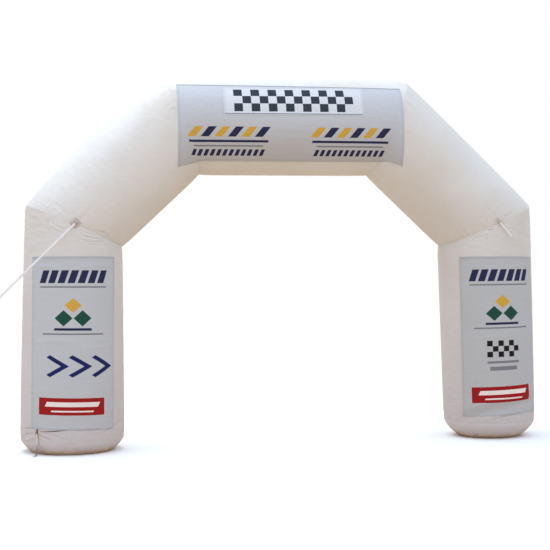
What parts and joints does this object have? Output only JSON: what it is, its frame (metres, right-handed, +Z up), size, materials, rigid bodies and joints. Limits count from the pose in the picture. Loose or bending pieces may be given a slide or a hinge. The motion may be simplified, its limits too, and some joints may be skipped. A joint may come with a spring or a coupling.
{
  "type": "inflatable arch",
  "caption": "Air-filled cloth gateway: round white tubes mitred into half an octagon, with printed banners on the front of the crossbeam and legs, and webbing guys tied to sewn rings.",
  "frame": {"origin": "on the ground, midway between the legs and between the tubes' front and back", "axes": "+X runs across the gateway towards the leg on the right of a viewer at the banners, +Y runs through it away from that viewer, +Z is up"},
  "size_m": [6.7706, 1.5489, 4.5672],
  "materials": {
    "tube_cloth": "coated white polyester, slightly shiny and a little soiled",
    "banner_cloth": "matt printed polyester, cool pale grey",
    "header_cloth": "matt printed polyester, white",
    "patch_cloth": "coated cloth, greyer than the tubes",
    "webbing": "woven white webbing",
    "ring_steel": "dull galvanised wire"
  },
  "bodies": {
    "root": {"left_leg": "tube_cloth", "left_haunch": "tube_cloth", "crossbeam": "tube_cloth", "right_haunch": "tube_cloth", "right_leg": "tube_cloth", "left_base": "tube_cloth", "right_base": "tube_cloth", "beam_banner": "banner_cloth", "header_panel": "header_cloth", "left_leg_banner": "banner_cloth", "right_leg_banner": "banner_cloth", "left_knee_patch": "patch_cloth", "left_knee_tab": "webbing", "left_knee_ring": "ring_steel", "left_guy_strap": "webbing", "left_guy_ring": "ring_steel", "right_knee_patch": "patch_cloth", "right_knee_tab": "webbing", "right_knee_ring": "ring_steel", "right_knee_strap": "webbing", "left_foot_patch": "patch_cloth", "left_foot_tab": "webbing", "left_foot_ring": "ring_steel", "left_foot_strap": "webbing"}
  },
  "joints": []
}
